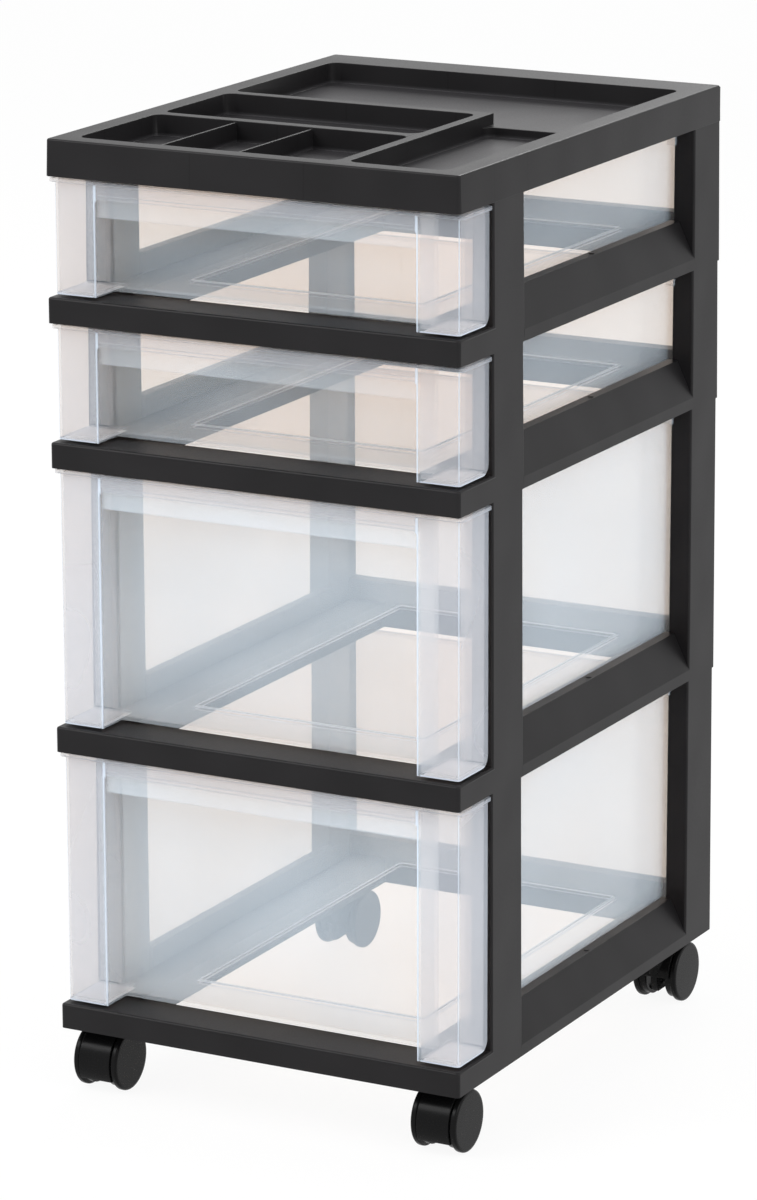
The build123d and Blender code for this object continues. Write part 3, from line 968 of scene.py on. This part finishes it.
@dataclass
class Drawer:
    """One see-through drawer with its gate mark on the floor."""

    node: str
    haze: float = ClearMoulding.haze
    frost: float = ClearMoulding.frost
    bar_height: float = 0.012
    rim_thickness: float = 0.0024
    panel_top: float = 0.003
    floor_margin: float = 0.001
    gate_x: float = -0.004
    gate_y: float = 0.058
    gate_radius: float = 0.0060
    gate_height: float = 0.0009
    gate_sink: float = 0.0004
    gate_steps: int = 40

    def finish(self, effects: Effects) -> bpy.types.Material:
        """Makes this drawer's plastic, whose frosted rim follows the drawer's height.

        Args:
            effects: the shared node groups.

        Returns:
            The material.
        """
        low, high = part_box(self.node)
        clear = ClearMoulding(
            name=f"{self.node}_plastic",
            rim_z=high.z - self.rim_thickness,
            bar_z=high.z - self.bar_height,
            floor_z=low.z + self.panel_top + self.floor_margin,
            bottom_z=low.z,
            haze=self.haze,
            frost=self.frost,
        )
        return clear.make(effects)

    def gate_mark(self) -> bpy.types.Mesh:
        """Low turned button with a dimple, where the melt enters the mould.

        Returns:
            The mesh.
        """
        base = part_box(self.node)[0].z + self.panel_top
        corners = [
            (-self.gate_sink, 0.0, 0.0),
            (-self.gate_sink, self.gate_radius, 0.0),
            (self.gate_height, self.gate_radius * 0.92, 0.0003),
            (self.gate_height, self.gate_radius * 0.45, 0.0003),
            (self.gate_height * 0.2, self.gate_radius * 0.3, 0.0002),
            (self.gate_height * 0.2, 0.0, 0.0),
        ]
        centre = np.array((self.gate_x, self.gate_y, base))
        upward = np.array((0.0, 0.0, 1.0))
        profile = rounded_profile(corners, 4)
        return close_up(
            turned_mesh(f"{self.node}_gate_mark", profile, centre, upward, self.gate_steps)
        )

    def build(self, effects: Effects) -> None:
        """Makes the drawer and its gate mark.

        Args:
            effects: the shared node groups.
        """
        material = self.finish(effects)
        piece = Piece(f"{self.node}_moulding", self.node, Slot.CLEAR, (self.node,))
        moulded_copy(self.node, 0.0, piece, material)
        Piece(f"{self.node}_gate_mark", self.node, Slot.CLEAR).show(self.gate_mark(), material)


@dataclass
class Caster:
    """Twin-wheel caster: hood, two turned wheels, steel stem and axle."""

    end: End
    side: Side
    wheel_radius: float = 0.0215
    drum_radius: float = 0.0193
    disc_width: float = 0.0045
    drum_width: float = 0.005
    drum_wall: float = 0.0025
    dish_depth: float = 0.004
    hub_radius: float = 0.006
    bore_radius: float = 0.0026
    bore_end: float = 0.0025
    edge_radius: float = 0.0016
    crown: float = 0.0004
    hood_edge: float = 0.0004
    wheel_sharp: float = 40.0

    @property
    def name(self) -> str:
        """The caster's name in the CAD model."""
        return f"{self.end.word}_{self.side.word}_caster"

    def wheel_profile(self) -> np.ndarray:
        """Half section of a wheel, from the bottom of its bore round to the middle of its face.

        Returns:
            Points (distance from the inner face, distance from the axis).
        """
        face = self.disc_width + self.drum_width
        corners = [
            (face - self.bore_end, 0.0, 0.0),
            (face - self.bore_end, self.bore_radius, 0.0),
            (0.0, self.bore_radius, 0.0003),
            (0.0, self.hub_radius, 0.0004),
            (self.dish_depth, self.hub_radius, 0.0004),
            (self.dish_depth, self.drum_radius - self.drum_wall, 0.0005),
            (0.0, self.drum_radius - self.drum_wall, 0.0004),
            (0.0, self.drum_radius, 0.0005),
            (self.drum_width, self.drum_radius, 0.0004),
            (self.drum_width, self.wheel_radius, 0.0011),
            (face - self.crown, self.wheel_radius, self.edge_radius),
            (face, self.wheel_radius * 0.9, 0.0008),
            (face, 0.0, 0.0),
        ]
        return rounded_profile(corners, 6)

    def build_wheel(self, wheel: Side, finish: bpy.types.Material) -> None:
        """Turns one wheel over its CAD node.

        Args:
            wheel: which of the two.
            finish: the caster's plastic.
        """
        node = f"{self.name}_{wheel.word}_wheel"
        low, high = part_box(node)
        start = high.x if wheel is Side.LEFT else low.x
        centre = np.array((start, (low.y + high.y) / 2, (low.z + high.z) / 2))
        axis = np.array((float(wheel.value), 0.0, 0.0))
        piece = Piece(f"{node}_moulding", node, Slot.CASTER, (node,))
        mesh = turned_mesh(piece.name, self.wheel_profile(), centre, axis)
        piece.show(close_up(mesh, self.wheel_sharp), finish)

    def build(self, finish: bpy.types.Material, steel: bpy.types.Material) -> None:
        """Makes the hood and wheels, and dresses the steel pins.

        Args:
            finish: the caster's plastic.
            steel: the pins' steel.
        """
        hood = f"{self.name}_hood"
        piece = Piece(f"{hood}_moulding", f"{self.name}_swivel", Slot.CASTER, (hood,))
        moulded_copy(hood, self.hood_edge, piece, finish)
        for wheel in Side:
            self.build_wheel(wheel, finish)
        for pin in ("stem", "axle"):
            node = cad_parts[f"{self.name}_{pin}"]
            node.data.materials.clear()
            node.data.materials.append(steel)
            LOG.info("%s keeps its CAD shape, in steel", node.name)


# ------------------------------------------------------------------ studio
@dataclass(frozen=True)
class Lamp:
    """One square soft box: where it hangs, the point it faces, its side and its watts."""

    name: str
    spot: Point
    aim: Point
    size: float
    power: float

    def hang(self) -> None:
        """Adds the lamp to the scene."""
        data = bpy.data.lights.new(self.name, "AREA")
        data.shape = "SQUARE"
        data.size = self.size
        data.energy = self.power
        lamp = bpy.data.objects.new(self.name, data)
        bpy.context.scene.collection.objects.link(lamp)
        lamp.location = self.spot
        facing = Vector(self.aim) - Vector(self.spot)
        lamp.rotation_euler = facing.to_track_quat("-Z", "Y").to_euler()


@dataclass
class Studio:
    """White floor and surroundings, soft lamps and the camera at the photograph's angle."""

    lens: float = 157.74
    sensor: float = 36.0
    place: Point = (1.6394, -3.1085, 1.2521)
    yaw: float = 27.98
    pitch: float = 14.83
    roll: float = -0.17
    sky: float = 1.0
    floor_half: float = 30.0
    floor_tone: float = 0.8
    floor_lift: float = 0.92
    clear_layers: int = 24
    lamps: tuple[Lamp, ...] = (
        Lamp("key_soft_box", (-1.6, -2.2, 2.6), (0.0, 0.0, 0.3), 1.8, 62.0),
        Lamp("right_soft_box", (2.6, -0.6, 1.7), (0.0, 0.0, 0.35), 1.4, 28.0),
        Lamp("rear_soft_box", (-0.4, 2.2, 2.3), (0.0, 0.0, 0.6), 0.9, 26.0),
    )

    def seen_directly(self, bench: NodeBench) -> bpy.types.NodeSocket:
        """1 for rays from the camera, from gloss and through clear walls, otherwise 0.

        Args:
            bench: the tree's bench.

        Returns:
            The share.
        """
        path = bench.add("ShaderNodeLightPath")
        gloss = bench.maths(
            "MAXIMUM", path.outputs["Is Glossy Ray"], path.outputs["Is Transmission Ray"]
        )
        return bench.maths("MAXIMUM", path.outputs["Is Camera Ray"], gloss)

    def build_world(self) -> None:
        """White surroundings for the eye; sky sets how bright they are as light on the object."""
        world = bpy.data.worlds.new("white_room")
        world.use_nodes = True
        world.node_tree.nodes.clear()
        bench = NodeBench(world.node_tree)
        white = bench.add("ShaderNodeBackground")
        bench.feed(white.inputs["Color"], (1.0, 1.0, 1.0, 1.0))
        grey = bench.add("ShaderNodeBackground")
        bench.feed(grey.inputs["Color"], (self.sky, self.sky, self.sky, 1.0))
        mix = bench.add("ShaderNodeMixShader")
        bench.feed(mix.inputs[0], self.seen_directly(bench))
        bench.feed(mix.inputs[1], grey.outputs[0])
        bench.feed(mix.inputs[2], white.outputs[0])
        bench.feed(bench.add("ShaderNodeOutputWorld").inputs["Surface"], mix.outputs[0])
        bpy.context.scene.world = world

    def build_floor(self) -> None:
        """Pale floor that shows nearly white and keeps the tower's soft shadow."""
        material, bench, output = new_material("pale_floor")
        matt = bench.add("ShaderNodeBsdfDiffuse")
        bench.feed(matt.inputs["Color"], rgba((self.floor_tone,) * 3))
        glow = bench.add("ShaderNodeEmission")
        bench.feed(glow.inputs["Color"], (1.0, 1.0, 1.0, 1.0))
        mix = bench.add("ShaderNodeMixShader")
        bench.feed(mix.inputs[0], bench.maths("MULTIPLY", self.seen_directly(bench), self.floor_lift))
        bench.feed(mix.inputs[1], matt.outputs[0])
        bench.feed(mix.inputs[2], glow.outputs[0])
        bench.feed(output.inputs["Surface"], mix.outputs[0])
        mesh = flat_sheet("studio_floor", self.floor_half, 8)
        mesh.materials.append(material)
        floor = bpy.data.objects.new("studio_floor", mesh)
        bpy.context.scene.collection.objects.link(floor)

    def build_camera(self) -> None:
        """Long-lens camera: yaw about Z, then pitch down, then roll about its own axis."""
        data = bpy.data.cameras.new("studio_camera")
        data.sensor_width = self.sensor
        data.lens = self.lens
        data.clip_start, data.clip_end = 0.1, 100.0
        camera = bpy.data.objects.new("studio_camera", data)
        bpy.context.scene.collection.objects.link(camera)
        turn = (
            Matrix.Rotation(math.radians(self.yaw), 4, "Z")
            @ Matrix.Rotation(math.radians(90.0 - self.pitch), 4, "X")
            @ Matrix.Rotation(math.radians(self.roll), 4, "Z")
        )
        camera.matrix_world = Matrix.Translation(self.place) @ turn
        bpy.context.scene.camera = camera

    def build(self) -> None:
        """Sets up the whole studio."""
        scene = bpy.context.scene
        scene.view_settings.view_transform = "Standard"
        scene.cycles.transparent_max_bounces = self.clear_layers
        self.build_world()
        self.build_floor()
        for lamp in self.lamps:
            lamp.hang()
        self.build_camera()
        LOG.info("studio ready: lens %.2f mm", self.lens)


def main() -> None:
    """Builds the tower from the floor up, then the studio round it."""
    logging.basicConfig(level=logging.INFO, format="%(name)s: %(message)s")
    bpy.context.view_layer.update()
    effects = Effects()
    black = BlackMoulding().make(effects)
    tray_black = BlackMoulding(
        name="tray_moulding", floor_z=0.649, seams_x=(-0.0435, 0.0405), seams_y=(-0.151, -0.103)
    ).make(effects)
    caster_black = BlackMoulding(
        name="caster_moulding",
        colour=(0.0045, 0.0045, 0.0047),
        roughness=0.26,
        specular=0.09,
        sink_depth=0.0004,
    ).make(effects)
    steel = TurnedSteel().make(effects)
    for node in ("base_frame", "lower_frame", "middle_frame", "upper_frame"):
        TierFrame(node).build(black)
    OrganizerTop().build(tray_black)
    for node in ("lower_deep_drawer", "upper_deep_drawer"):
        Drawer(node).build(effects)
    # Painted shade: the shallow drawers take less haze and frost than the deep ones, which darkens them
    # to stand in for the shade of the frames close above.
    for node in ("lower_shallow_drawer", "upper_shallow_drawer"):
        Drawer(node, haze=0.145, frost=0.21).build(effects)
    for end in End:
        for side in Side:
            Caster(end, side).build(caster_black, steel)
    Studio().build()


if __name__ == "__main__":
    main()
